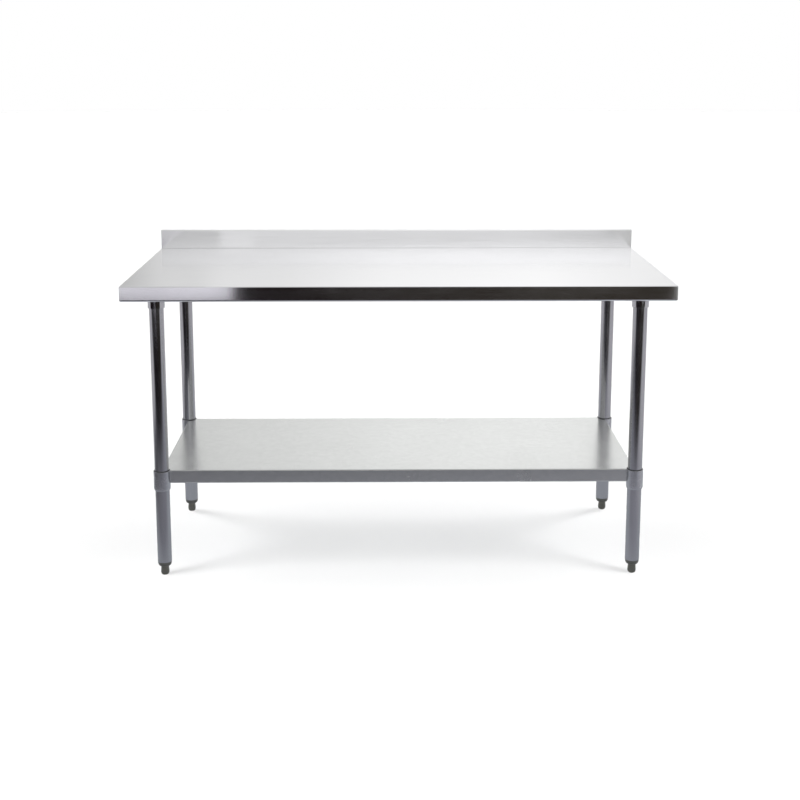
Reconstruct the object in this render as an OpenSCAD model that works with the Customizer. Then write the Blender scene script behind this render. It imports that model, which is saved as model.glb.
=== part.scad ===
// Stainless work table with a rear upstand, four tube legs and an adjustable galvanised undershelf.
// Origin: centre of the footprint, on the floor. X runs along the table, Y from front to rear, Z up.

/* [Table] */
// Overall length along X
table_length = 1500; // [1200:1:1830]
// Overall depth from the front apron to the back of the upstand
table_depth = 700; // [600:1:760]
// Height of the work surface with the feet screwed fully in
work_height = 850; // [820:1:900]
// Centre of a leg in from the table's end
leg_inset_x = 83; // [80:1:120]
// Centre of a leg in from the front, and the same from the rear
leg_inset_y = 88; // [84:1:110]

/* [Work top] */
// Thickness of the stainless sheet
top_sheet = 1.2; // [1:0.1:2]
// Depth of the front and side aprons
apron_depth = 43; // [38:1:60]
// Width of the return folded in under each apron
apron_return = 15; // [12:1:16]
// Radius of the bend along the work surface's edges, at mid thickness
edge_bend = 2.4; // [2:0.2:4]
// Radius of the bend along an apron's lower edge, at mid thickness
return_bend = 5; // [3:0.5:6]
// Height of the rear upstand above the work surface
upstand_height = 58; // [40:1:120]
// Depth of the ledge along the top of the upstand
upstand_ledge = 14; // [12:1:30]
// Height of the flange folded down behind the upstand
upstand_flange = 22; // [15:1:35]

/* [Stiffening channels] */
// Thickness of the channel sheet
channel_sheet = 1.5; // [1.2:0.1:2]
// Depth of the channels under the work top
channel_depth = 25; // [22:1:28]
// Width of a channel's flat crown
channel_crown = 84; // [84:1:88]
// Width of each flange that lies against the sheet
channel_flange = 18; // [18:1:20]
// Gap between the ends of the long channels and the table's ends
channel_end_gap = 24; // [20:1:40]
// Distance of each cross channel from the middle of the table
cross_channel_x = 250; // [150:1:350]
// Depth of the channel under the undershelf
shelf_channel_depth = 20; // [15:1:24]

/* [Legs and sockets] */
// Outer diameter of the leg tube
leg_diameter = 40; // [38:0.5:42]
// Wall of the leg tube
leg_wall = 1.5; // [1.2:0.1:2]
// Height of the lower end of the leg tube above the floor
leg_bottom = 40; // [38:1:43]
// Radial gap between the leg and the sockets and collars
leg_gap = 0.3; // [0.25:0.05:0.4]
// Wall of the sockets and collars
socket_wall = 3; // [2.8:0.1:4]
// How far the socket's lower rim lies below the work surface
socket_drop = 75; // [72:1:95]
// Side of the socket's square mounting plate
plate_size = 78; // [78:1:80]
// Thickness of the mounting plate
plate_thick = 4; // [3:0.5:5]
// Spacing of the plate's four bolts
bolt_spacing = 60; // [60:1:62]

/* [Undershelf] */
// Height of the shelf surface above the floor
shelf_height = 308; // [200:1:400]
// Thickness of the galvanised sheet
shelf_sheet = 1; // [0.8:0.1:1.5]
// Depth of the shelf's folded edges
shelf_edge = 38; // [30:1:38]
// Width of the return folded in under each edge
shelf_return = 12; // [10:1:14]
// Height of a corner collar
collar_height = 56; // [55:1:75]

/* [Feet] */
// Height of the insert's rounded end below the tube
insert_dome = 13; // [9:1:14]
// Length of the insert's plug inside the tube
plug_length = 36; // [36:1:50]
// Diameter of the bullet foot
foot_diameter = 24; // [22:1:27]
// Diameter of the foot's stem
stem_diameter = 12; // [10:1:14]
// Radial running clearance of the stem in the insert
stem_clearance = 0.08; // [0.05:0.01:0.1]
// Length of the stem inside the insert with the foot screwed in
stem_length = 44; // [40:1:45]

/* [Hidden] */
half_length = table_length / 2;
half_depth = table_depth / 2;
leg_x = half_length - leg_inset_x;
leg_y = half_depth - leg_inset_y;
leg_r = leg_diameter / 2;
bore_r = leg_r + leg_gap;
socket_r = bore_r + socket_wall;

// Mid-thickness planes of the folded work top
top_mid = work_height - top_sheet / 2;
apron_bottom = work_height - apron_depth;
side_mid = half_length - top_sheet / 2;
front_mid = -half_depth + top_sheet / 2;
upstand_mid = half_depth - upstand_ledge + top_sheet / 2;
rear_mid = half_depth - top_sheet / 2;
ledge_mid = work_height + upstand_height - top_sheet / 2;

// Levels and widths under the work top
top_underside = work_height - top_sheet;
channel_bottom = top_underside - channel_depth;
plate_bottom = channel_bottom - plate_thick;
socket_bottom = work_height - socket_drop;
channel_length = table_length - 2 * channel_end_gap;
channel_bend = 2.2;
channel_half = channel_crown / 2 + channel_flange;
cross_gap = 2;
cross_half_length = leg_y - channel_half - cross_gap;
stud_offset = 1.5;
stud_line = channel_half - channel_flange / 2 + stud_offset;

// Sockets and collars
socket_taper = 1.5;
socket_flare = 4;
rim_lip = 1.2;
rim_r = leg_r + rim_lip;
collar_bottom = shelf_height - collar_height;
collar_taper = 10;
notch_gap = 0.3;
tab_size = 58;
tab_thick = 3;
tab_inset = 2;

// Undershelf
shelf_mid = shelf_height - shelf_sheet / 2;
shelf_underside = shelf_height - shelf_sheet;
shelf_bottom = shelf_height - shelf_edge;
shelf_bend = 2;
shelf_return_bend = 3;
shelf_channel_crown = 56;
shelf_channel_flange = 16;
shelf_channel_inset = 30;

// Feet and inserts
dome_bottom = leg_bottom - insert_dome;
dome_tip_r = 13.5;
plug_gap = 0.1;
plug_r = leg_r - leg_wall - plug_gap;
plug_lead = 2;
stem_r = stem_diameter / 2;
foot_r = foot_diameter / 2;
foot_taper = 1.2;
foot_neck_r = foot_r - foot_taper;
foot_tip_r = 7;
foot_round = 9;
seat_gap = 0.2;

// Bolts, nuts, studs and set screws
bolt_r = 3;
bolt_head_r = 5.8;
bolt_head_height = 4;
bolt_end = 2;
bolt_nut_r = 5.8;
bolt_nut_height = 5;
stud_r = 2.5;
stud_length = 9;
stud_nut_r = 4.6;
stud_nut_height = 4;
stud_end_inset = 40;
studs_per_flange = 5;
hole_gap = 0.25;
thread_gap = 0.1;
set_screw_r = 3;
set_screw_length = 6;
set_screw_key_r = 1.7;
set_screw_key_depth = 3;
set_screw_tip_gap = 0.4;
socket_screw_rise = 18;
socket_screw_z = socket_bottom + socket_screw_rise;
screw_land = 0.5;
collar_screw_z = collar_bottom + collar_taper + set_screw_r + screw_land;

// Facets in one quarter bend, and on round parts
bend_steps = 6;
round_fn = 64;
cut = 1;

ends = [-1, 1];
corners = [for (sy = ends, sx = ends) [sx, sy]];

// ---- Folded sheet sections ----

function unit(v) = v / norm(v);
function left_of(v) = [-v[1], v[0]];
function reversed(points) = [for (i = [len(points) - 1:-1:0]) points[i]];
function mirrored(points) = [for (p = reversed(points)) [-p[0], p[1]]];

// Points of one bend on one skin of a sheet: side is 1 for the left skin and -1 for the right one.
function bend_points(a, corner, b, radius, thick, side) =
    let (
        to_corner = unit(corner - a),
        from_corner = unit(b - corner),
        turn = to_corner[0] * from_corner[1] - to_corner[1] * from_corner[0] > 0 ? 1 : -1,
        sweep = acos(to_corner * from_corner),
        start = corner - to_corner * radius * tan(sweep / 2),
        centre = start + left_of(to_corner) * turn * radius,
        spoke = start - centre,
        first = atan2(spoke[1], spoke[0]),
        skin = radius - turn * side * thick / 2
    )
    [for (i = [0:bend_steps])
        let (t = first + turn * sweep * i / bend_steps)
        centre + skin * [cos(t), sin(t)]];

// One skin of a sheet that follows a mid-thickness path, with a bend radius for each inner corner.
function skin_points(path, radii, thick, side) =
    let (last = len(path) - 1)
    concat(
        [path[0] + left_of(unit(path[1] - path[0])) * side * thick / 2],
        [for (i = [1:last - 1])
            each bend_points(path[i - 1], path[i], path[i + 1], radii[i - 1], thick, side)],
        [path[last] + left_of(unit(path[last] - path[last - 1])) * side * thick / 2]
    );

// Outline of a folded sheet.
module folded_sheet(path, radii, thick) {
    polygon(concat(
        skin_points(path, radii, thick, 1),
        reversed(skin_points(path, radii, thick, -1))
    ));
}

// A section drawn in Y and Z, run along X about the middle.
module along_x(length) {
    rotate([90, 0, 90])
        translate([0, 0, -length / 2])
            linear_extrude(length)
                children();
}

// A section drawn in X and Z, run along Y from one place to another.
module along_y(from, to) {
    translate([0, to, 0])
        rotate([90, 0, 0])
            linear_extrude(to - from)
                children();
}

// Left half of a tray's section: return, wall and half of the flat sheet.
function half_tray_path(wall_mid, top, bottom, width, thick) = [
    [-wall_mid + width - thick / 2, bottom + thick / 2],
    [-wall_mid, bottom + thick / 2],
    [-wall_mid, top],
    [0, top]
];

// The whole tray section, from one return to the other.
function tray_path(wall_mid, top, bottom, width, thick) =
    let (half = half_tray_path(wall_mid, top, bottom, width, thick))
    concat([half[0], half[1], half[2]], mirrored([half[0], half[1], half[2]]));

// What fills the outside of a tray section, as one solid outline.
module tray_outline(wall_mid, top, bottom, width, bends, thick) {
    skin = skin_points(half_tray_path(wall_mid, top, bottom, width, thick), bends, thick, 1);
    polygon(concat(skin, mirrored(skin)));
}

// ---- Work top ----

top_bends = [return_bend, edge_bend];
front_path = [
    [front_mid + apron_return - top_sheet / 2, apron_bottom + top_sheet / 2],
    [front_mid, apron_bottom + top_sheet / 2],
    [front_mid, top_mid]
];

// Front return, apron, work surface, upstand, ledge and rear flange, folded from one sheet.
module long_section() {
    path = concat(front_path, [
        [upstand_mid, top_mid],
        [upstand_mid, ledge_mid],
        [rear_mid, ledge_mid],
        [rear_mid, ledge_mid - upstand_flange]
    ]);
    folded_sheet(path, concat(top_bends, [for (i = [1:3]) edge_bend]), top_sheet);
}

// Rounded to the side bends up to the work surface, and square above it.
module long_section_limits() {
    tray_outline(side_mid, top_mid, apron_bottom, apron_return, top_bends, top_sheet);
    translate([-half_length, work_height])
        square([table_length, upstand_height + cut]);
}

// Rounded to the front bends, and square at the upstand.
module side_section_limits() {
    polygon(concat(
        skin_points(concat(front_path, [[0, top_mid]]), top_bends, top_sheet, 1),
        [[upstand_mid, work_height], [upstand_mid, apron_bottom]]
    ));
}

module work_top() {
    color([0.80, 0.81, 0.82])
    union() {
        intersection() {
            along_x(table_length)
                long_section();
            along_y(-half_depth - cut, half_depth + cut)
                long_section_limits();
        }
        intersection() {
            along_y(-half_depth, upstand_mid)
                folded_sheet(
                    tray_path(side_mid, top_mid, apron_bottom, apron_return, top_sheet),
                    concat(top_bends, reversed(top_bends)),
                    top_sheet
                );
            along_x(table_length + 2 * cut)
                side_section_limits();
        }
    }
}

// ---- Stiffening channels ----

// Section of a hat channel about its own middle, with its flanges up against the sheet.
module hat_section(crown, flange, depth, underside) {
    flange_z = underside - channel_sheet / 2;
    crown_z = underside - depth + channel_sheet / 2;
    half = [
        [-crown / 2 - flange, flange_z],
        [-crown / 2, flange_z],
        [-crown / 2, crown_z]
    ];
    folded_sheet(
        concat(half, mirrored(half)),
        [for (i = [1:4]) channel_bend],
        channel_sheet
    );
}

// Places of the studs along one long channel's flange, and along a cross channel's flange.
long_stud_span = channel_length / 2 - stud_end_inset;
long_stud_places = [for (i = [0:studs_per_flange - 1])
    long_stud_span * (2 * i / (studs_per_flange - 1) - 1)];
cross_stud_place = cross_half_length - stud_end_inset;

stud_places = concat(
    [for (sy = ends, flange = ends, x = long_stud_places) [x, sy * leg_y + flange * stud_line]],
    [for (sx = ends, flange = ends, sy = ends)
        [sx * cross_channel_x + flange * stud_line, sy * cross_stud_place]]
);
bolt_places = [for (c = corners, sx = ends, sy = ends)
    [c[0] * leg_x + sx * bolt_spacing / 2, c[1] * leg_y + sy * bolt_spacing / 2]];

module stud_holes() {
    for (p = stud_places)
        translate([p[0], p[1], top_underside - channel_sheet - cut])
            cylinder(h = channel_sheet + 2 * cut, r = stud_r + hole_gap, $fn = round_fn);
}

module bolt_holes(low, high) {
    for (p = bolt_places)
        translate([p[0], p[1], low - cut])
            cylinder(h = high - low + 2 * cut, r = bolt_r + hole_gap, $fn = round_fn);
}

module long_channel(side) {
    color([0.72, 0.73, 0.74])
    difference() {
        translate([0, side * leg_y, 0])
            along_x(channel_length)
                hat_section(channel_crown, channel_flange, channel_depth, top_underside);
        stud_holes();
        bolt_holes(channel_bottom, channel_bottom + channel_sheet);
    }
}

module cross_channel(side) {
    color([0.72, 0.73, 0.74])
    difference() {
        translate([side * cross_channel_x, 0, 0])
            along_y(-cross_half_length, cross_half_length)
                hat_section(channel_crown, channel_flange, channel_depth, top_underside);
        stud_holes();
    }
}

module channel_studs() {
    color([0.65, 0.65, 0.66])
    for (p = stud_places)
        translate([p[0], p[1], top_underside - stud_length])
            cylinder(h = stud_length, r = stud_r, $fn = round_fn);
}

// A hexagonal nut with its lower face at the origin.
module hex_nut(nut_r, height, thread_r) {
    difference() {
        cylinder(h = height, r = nut_r, $fn = 6);
        translate([0, 0, -cut])
            cylinder(h = height + 2 * cut, r = thread_r + thread_gap, $fn = round_fn);
    }
}

module channel_nuts() {
    color([0.60, 0.60, 0.61])
    for (p = stud_places)
        translate([p[0], p[1], top_underside - channel_sheet - stud_nut_height])
            hex_nut(stud_nut_r, stud_nut_height, stud_r);
}

// ---- Leg sockets ----

// Ring that a leg passes through, with a tapered lower rim.
module leg_ring(low, high, taper, flare) {
    rotate_extrude($fn = round_fn)
        polygon([
            [bore_r, low],
            [rim_r, low],
            [socket_r, low + taper],
            [socket_r, high - flare],
            [socket_r + flare, high],
            [bore_r, high]
        ]);
}

// Hole for a set screw through the ring's wall, on the side that faces the table's middle.
module set_screw_hole(sy, z) {
    translate([0, -sy * (leg_r - cut), z])
        rotate([sy * 90, 0, 0])
            cylinder(h = socket_wall + leg_gap + 2 * cut, r = set_screw_r + thread_gap, $fn = round_fn);
}

module socket(c) {
    color([0.62, 0.63, 0.66])
    translate([c[0] * leg_x, c[1] * leg_y, 0])
    difference() {
        union() {
            leg_ring(socket_bottom, plate_bottom, socket_taper, socket_flare);
            translate([-plate_size / 2, -plate_size / 2, plate_bottom])
                cube([plate_size, plate_size, plate_thick]);
        }
        set_screw_hole(c[1], socket_screw_z);
        for (sx = ends, sy = ends)
            translate([sx * bolt_spacing / 2, sy * bolt_spacing / 2, plate_bottom - cut])
                cylinder(h = plate_thick + 2 * cut, r = bolt_r + hole_gap, $fn = round_fn);
    }
}

module socket_bolts() {
    length = plate_thick + channel_sheet + bolt_nut_height + bolt_end;
    color([0.58, 0.58, 0.60])
    for (p = bolt_places)
        translate([p[0], p[1], plate_bottom]) {
            cylinder(h = length, r = bolt_r, $fn = round_fn);
            translate([0, 0, -bolt_head_height])
                cylinder(h = bolt_head_height, r = bolt_head_r, $fn = 6);
        }
}

module socket_nuts() {
    color([0.58, 0.58, 0.60])
    for (p = bolt_places)
        translate([p[0], p[1], channel_bottom + channel_sheet])
            hex_nut(bolt_nut_r, bolt_nut_height, bolt_r);
}

// Set screw with a hexagonal key recess, tip towards the leg.
module set_screw(c, z) {
    translate([c[0] * leg_x, c[1] * (leg_y - leg_r - set_screw_tip_gap), z])
        rotate([c[1] * 90, 0, 0])
            difference() {
                cylinder(h = set_screw_length, r = set_screw_r, $fn = round_fn);
                translate([0, 0, set_screw_length - set_screw_key_depth])
                    cylinder(h = set_screw_key_depth + cut, r = set_screw_key_r, $fn = 6);
            }
}

module socket_set_screws() {
    color([0.25, 0.25, 0.26])
    for (c = corners)
        set_screw(c, socket_screw_z);
}

// ---- Legs, inserts and feet ----

module leg(c) {
    color([0.60, 0.61, 0.65])
    translate([c[0] * leg_x, c[1] * leg_y, leg_bottom])
    difference() {
        cylinder(h = plate_bottom - leg_bottom, r = leg_r, $fn = round_fn);
        translate([0, 0, -cut])
            cylinder(h = plate_bottom - leg_bottom + 2 * cut, r = leg_r - leg_wall, $fn = round_fn);
    }
}

// Quarter curve in radius and height, from the foot of the curve up to its shoulder.
function quarter_curve(tip_r, shoulder_r, low, rise) =
    [for (i = [0:bend_steps])
        let (t = 90 * i / bend_steps)
        [tip_r + (shoulder_r - tip_r) * sin(t), low + rise * (1 - cos(t))]];

// Insert pressed into the tube's end, with a rounded end below it and a hole for the foot's stem.
module insert(c) {
    hole_r = stem_r + stem_clearance;
    color([0.35, 0.35, 0.33])
    translate([c[0] * leg_x, c[1] * leg_y, 0])
    rotate_extrude($fn = round_fn)
        polygon(concat(
            [[hole_r, dome_bottom]],
            quarter_curve(dome_tip_r, leg_r, dome_bottom, insert_dome),
            [
                [plug_r, leg_bottom],
                [plug_r, leg_bottom + plug_length - plug_lead],
                [plug_r - plug_lead, leg_bottom + plug_length],
                [hole_r, leg_bottom + plug_length]
            ]
        ));
}

// Bullet foot with its stem, one piece.
module foot(c) {
    top = dome_bottom - seat_gap;
    color([0.30, 0.30, 0.27])
    translate([c[0] * leg_x, c[1] * leg_y, 0])
    rotate_extrude($fn = round_fn)
        polygon(concat(
            [[0, 0]],
            quarter_curve(foot_tip_r, foot_r, 0, foot_round),
            [
                [foot_neck_r, top],
                [stem_r, top],
                [stem_r, dome_bottom + stem_length],
                [0, dome_bottom + stem_length]
            ]
        ));
}

// ---- Undershelf ----

shelf_bends = [shelf_return_bend, shelf_bend];

module shelf_section(wall_mid) {
    folded_sheet(
        tray_path(wall_mid, shelf_mid, shelf_bottom, shelf_return, shelf_sheet),
        concat(shelf_bends, reversed(shelf_bends)),
        shelf_sheet
    );
}

module shelf_outline(wall_mid) {
    tray_outline(wall_mid, shelf_mid, shelf_bottom, shelf_return, shelf_bends, shelf_sheet);
}

module undershelf() {
    long_mid = leg_x - shelf_sheet / 2;
    short_mid = leg_y - shelf_sheet / 2;
    color([0.74, 0.76, 0.76])
    difference() {
        union() {
            intersection() {
                along_x(2 * leg_x)
                    shelf_section(short_mid);
                along_y(-leg_y - cut, leg_y + cut)
                    shelf_outline(long_mid);
            }
            intersection() {
                along_y(-leg_y, leg_y)
                    shelf_section(long_mid);
                along_x(2 * leg_x + 2 * cut)
                    shelf_outline(short_mid);
            }
        }
        for (c = corners)
            translate([c[0] * leg_x, c[1] * leg_y, shelf_bottom - cut])
                cylinder(h = shelf_edge + 2 * cut, r = socket_r + notch_gap, $fn = round_fn);
    }
}

module shelf_hat_channel() {
    color([0.70, 0.72, 0.72])
    along_x(2 * (leg_x - shelf_channel_inset))
        hat_section(shelf_channel_crown, shelf_channel_flange, shelf_channel_depth, shelf_underside);
}

// Collar that slides on a leg, with a tab under the shelf sheet.
module collar(c) {
    color([0.62, 0.63, 0.66])
    translate([c[0] * leg_x, c[1] * leg_y, 0])
    difference() {
        union() {
            leg_ring(collar_bottom, shelf_height, collar_taper, 0);
            mirror([c[0] > 0 ? 1 : 0, 0, 0])
                mirror([0, c[1] > 0 ? 1 : 0, 0])
                    translate([tab_inset, tab_inset, shelf_underside - tab_thick])
                        cube([tab_size, tab_size, tab_thick]);
        }
        translate([0, 0, collar_bottom - cut])
            cylinder(h = collar_height + 2 * cut, r = bore_r, $fn = round_fn);
        set_screw_hole(c[1], collar_screw_z);
    }
}

module collar_set_screws() {
    color([0.25, 0.25, 0.26])
    for (c = corners)
        set_screw(c, collar_screw_z);
}

work_top();
long_channel(-1);  // front_hat_channel
long_channel(1);  // rear_hat_channel
cross_channel(-1);  // left_cross_channel
cross_channel(1);  // right_cross_channel
channel_studs();
channel_nuts();
socket(corners[0]);  // socket_front_left
socket(corners[1]);  // socket_front_right
socket(corners[2]);  // socket_rear_left
socket(corners[3]);  // socket_rear_right
socket_bolts();
socket_nuts();
socket_set_screws();
leg(corners[0]);  // leg_front_left
leg(corners[1]);  // leg_front_right
leg(corners[2]);  // leg_rear_left
leg(corners[3]);  // leg_rear_right
insert(corners[0]);  // insert_front_left
insert(corners[1]);  // insert_front_right
insert(corners[2]);  // insert_rear_left
insert(corners[3]);  // insert_rear_right
foot(corners[0]);  // foot_front_left
foot(corners[1]);  // foot_front_right
foot(corners[2]);  // foot_rear_left
foot(corners[3]);  // foot_rear_right
undershelf();
shelf_hat_channel();
collar(corners[0]);  // collar_front_left
collar(corners[1]);  // collar_front_right
collar(corners[2]);  // collar_rear_left
collar(corners[3]);  // collar_rear_right
collar_set_screws();
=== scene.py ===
"""Stainless work table: materials, fine hardware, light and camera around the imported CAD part."""

import math

import bmesh
import bpy
from mathutils import Matrix, Vector


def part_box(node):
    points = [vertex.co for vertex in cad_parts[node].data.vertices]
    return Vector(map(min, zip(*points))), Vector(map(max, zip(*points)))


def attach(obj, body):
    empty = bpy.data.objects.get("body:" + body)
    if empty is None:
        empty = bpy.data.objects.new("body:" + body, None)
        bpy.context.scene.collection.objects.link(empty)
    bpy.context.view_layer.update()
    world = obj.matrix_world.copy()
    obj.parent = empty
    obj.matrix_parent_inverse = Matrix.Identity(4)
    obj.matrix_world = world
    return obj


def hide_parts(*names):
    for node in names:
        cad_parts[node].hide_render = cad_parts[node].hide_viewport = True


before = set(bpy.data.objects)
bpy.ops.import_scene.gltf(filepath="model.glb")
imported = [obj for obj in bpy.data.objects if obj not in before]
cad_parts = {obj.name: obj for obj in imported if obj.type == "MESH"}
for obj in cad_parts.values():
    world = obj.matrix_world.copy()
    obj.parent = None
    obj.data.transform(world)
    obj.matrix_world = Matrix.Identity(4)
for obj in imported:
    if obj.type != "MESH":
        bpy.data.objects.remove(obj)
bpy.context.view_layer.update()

CORNERS = ("front_left", "front_right", "rear_left", "rear_right")
MM = 0.001

# ---- Node helpers ----


def node(tree, kind, links=None, values=None, **settings):
    """Adds one shader node, with its settings, plain values and links by input name or number."""
    made = tree.nodes.new(kind)
    for name, value in settings.items():
        setattr(made, name, value)
    for name, value in (values or {}).items():
        made.inputs[name].default_value = value
    for name, source in (links or {}).items():
        tree.links.new(source, made.inputs[name])
    return made


def math_node(tree, operation, a, b=None):
    """One Math node. A number is a plain value and anything else is linked."""
    links, values = {}, {}
    for place, item in ((0, a), (1, b)):
        if item is None:
            continue
        (values if isinstance(item, (int, float)) else links)[place] = item
    return node(tree, "ShaderNodeMath", links, values, operation=operation).outputs[0]


def add(tree, a, b):
    """Sum of two values."""
    return math_node(tree, "ADD", a, b)


def multiply(tree, a, b):
    """Product of two values."""
    return math_node(tree, "MULTIPLY", a, b)


def rest_of(tree, share):
    """What a share leaves of one."""
    return math_node(tree, "SUBTRACT", 1.0, share)


def unsigned(tree, value):
    """A value without its sign."""
    return math_node(tree, "ABSOLUTE", value)


def split(tree, vector):
    """X, Y and Z of a vector."""
    made = node(tree, "ShaderNodeSeparateXYZ", {"Vector": vector})
    return made.outputs["X"], made.outputs["Y"], made.outputs["Z"]


def ramp(tree, source, stops):
    """A colour ramp from (place, grey or colour) stops."""
    made = node(tree, "ShaderNodeValToRGB", {"Fac": source})
    elements = made.color_ramp.elements
    while len(elements) < len(stops):
        elements.new(0.5)
    for element, (place, shade) in zip(elements, stops):
        element.position = place
        colour = (shade,) * 3 if isinstance(shade, (int, float)) else tuple(shade)
        element.color = (*colour, 1.0)
    return made.outputs["Color"]


def spread(tree, source, low, high, to_low, to_high):
    """Maps a range of a value onto another range, held at the ends."""
    made = node(tree, "ShaderNodeMapRange", {"Value": source})
    made.clamp = True
    for name, value in zip(("From Min", "From Max", "To Min", "To Max"), (low, high, to_low, to_high)):
        made.inputs[name].default_value = value
    return made.outputs["Result"]


def share_between(tree, source, nothing, all_of_it):
    """A share that goes from 0 to 1 between two values, which may be given in either order."""
    if nothing < all_of_it:
        return spread(tree, source, nothing, all_of_it, 0.0, 1.0)
    return spread(tree, source, all_of_it, nothing, 1.0, 0.0)


def blend(tree, share, first, second):
    """Colour between two tones; each is a plain colour or a linked one."""
    links, values = {"Fac": share}, {}
    for place, tone in (("Color1", first), ("Color2", second)):
        if isinstance(tone, tuple):
            values[place] = (*tone, 1.0)
        else:
            links[place] = tone
    return node(tree, "ShaderNodeMixRGB", links, values).outputs["Color"]


def object_place(tree):
    """Object coordinates, in metres in the shared frame."""
    return node(tree, "ShaderNodeTexCoord").outputs["Object"]


def scaled(tree, place, scale):
    """Coordinates scaled along each axis."""
    return node(tree, "ShaderNodeMapping", {"Vector": place}, {"Scale": scale}).outputs["Vector"]


def noise(tree, place, scale, detail=2.0, roughness=0.5):
    """Noise value at the given scale, per metre."""
    return node(
        tree,
        "ShaderNodeTexNoise",
        {"Vector": place},
        {"Scale": scale, "Detail": detail, "Roughness": roughness},
    ).outputs["Fac"]


def new_material(name, **shader_values):
    """A Principled material. Values that are the same all over sit on the shader's own sockets."""
    material = bpy.data.materials.new(name)
    material.use_nodes = True
    tree = material.node_tree
    tree.nodes.clear()
    values = {key.replace("_", " "): value for key, value in shader_values.items()}
    shader = node(tree, "ShaderNodeBsdfPrincipled", values=values)
    node(tree, "ShaderNodeOutputMaterial", {"Surface": shader.outputs["BSDF"]})
    return material, tree, shader


def tint(tree, shader, colour, source, amount):
    """Base colour that varies lighter and darker by a share of itself."""
    low = [c * (1 - amount) for c in colour]
    high = [min(1.0, c * (1 + amount)) for c in colour]
    first, last = TINT_STOPS
    tree.links.new(ramp(tree, source, ((first, low), (last, high))), shader.inputs["Base Color"])


def roughen(tree, shader, *layers):
    """Roughness as a sum of layers, each a noise, the part of it that counts and what that maps onto."""
    total = None
    for source, part, roughness in layers:
        layer = spread(tree, source, *part, *roughness)
        total = layer if total is None else add(tree, total, layer)
    tree.links.new(total, shader.inputs["Roughness"])


def bump(tree, shader, height, strength, distance, below=None):
    """Bump on the shader's normal, over an earlier bump if there is one."""
    links = {"Height": height}
    if below is not None:
        links["Normal"] = below
    made = node(tree, "ShaderNodeBump", links, {"Strength": strength, "Distance": distance})
    tree.links.new(made.outputs["Normal"], shader.inputs["Normal"])
    return made.outputs["Normal"]


# ---- Materials ----

STAINLESS = (0.80, 0.80, 0.81)
GALVANISED = (0.64, 0.655, 0.64)
SHELF_TINT = (0.60, 0.61, 0.60)
LEG_ZINC = (0.44, 0.44, 0.46)
SOCKET_CAST = (0.50, 0.505, 0.52)
COLLAR_CAST = (0.50, 0.505, 0.525)
ZINC_PLATE = (0.62, 0.62, 0.60)
BLACK_OXIDE = (0.035, 0.035, 0.04)
# Near black: a plastic bushing, and also painted shade for the gap round the leg at the collar's top.
BUSHING_SHADOW_GAP_GREY = (0.020, 0.020, 0.022)
INSERT_GREY = (0.072, 0.073, 0.066)
FOOT_OLIVE = (0.082, 0.083, 0.071)

# Scales of the noises, per metre; three numbers are for X, Y and Z.
GRAIN_ACROSS = 1400.0
GRAIN_ALONG = 6.0
HANDLING_SCALE = (3.0, 7.0, 7.0)
CRYSTAL_WOBBLE_SCALE = 60.0
FROST_SCALE = 900.0
CLOUD_SCALE = 5.0
DRAW_LINE_SCALE = (900.0, 900.0, 2.5)
ZINC_FILM_SCALE = (30.0, 30.0, 9.0)
SAND_SCALE = 1500.0
FLOW_SCALE = 45.0
TOOL_MARK_SCALE = 700.0
PLATING_SCALE = 60.0
SPARK_SCALE = 1800.0
PATCH_SCALE = 70.0

# Parts of a noise's range that a tint or a roughness follows.
TINT_STOPS = (0.25, 0.75)
MIDDLE = (0.3, 0.7)
UPPER = (0.35, 0.7)
WIDE = (0.2, 0.8)

CRYSTAL_WOBBLE = 0.006
CRYSTAL_SHARE = 0.55
END_FACING = 0.7


def brushed_stainless(name):
    """Sheet brushed along the table's length; on the folded ends the same grain runs up and down."""
    material, tree, shader = new_material(
        name, Metallic=1.0, Anisotropic=0.35, Anisotropic_Rotation=0.25
    )
    place = object_place(tree)
    x, y, z = split(tree, place)
    facing_x = split(tree, node(tree, "ShaderNodeTexCoord").outputs["Normal"])[0]
    on_end = math_node(tree, "GREATER_THAN", unsigned(tree, facing_x), END_FACING)
    along = add(tree, x, multiply(tree, z, on_end))
    across = add(tree, y, multiply(tree, z, rest_of(tree, on_end)))
    streaks_at = node(
        tree,
        "ShaderNodeCombineXYZ",
        {"X": multiply(tree, along, GRAIN_ALONG), "Y": multiply(tree, across, GRAIN_ACROSS)},
    ).outputs["Vector"]
    streaks = noise(tree, streaks_at, 1.0, detail=3.0, roughness=0.6)
    handling = noise(tree, scaled(tree, place, HANDLING_SCALE), 1.0, detail=4.0, roughness=0.55)
    tint(tree, shader, STAINLESS, streaks, 0.07)
    roughen(tree, shader, (streaks, MIDDLE, (0.085, 0.125)), (handling, UPPER, (-0.02, 0.04)))
    tangent = node(tree, "ShaderNodeCombineXYZ", values={"X": 1.0}).outputs["Vector"]
    tree.links.new(tangent, shader.inputs["Tangent"])
    bump(tree, shader, streaks, strength=0.10, distance=0.02 * MM)
    return material


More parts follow.
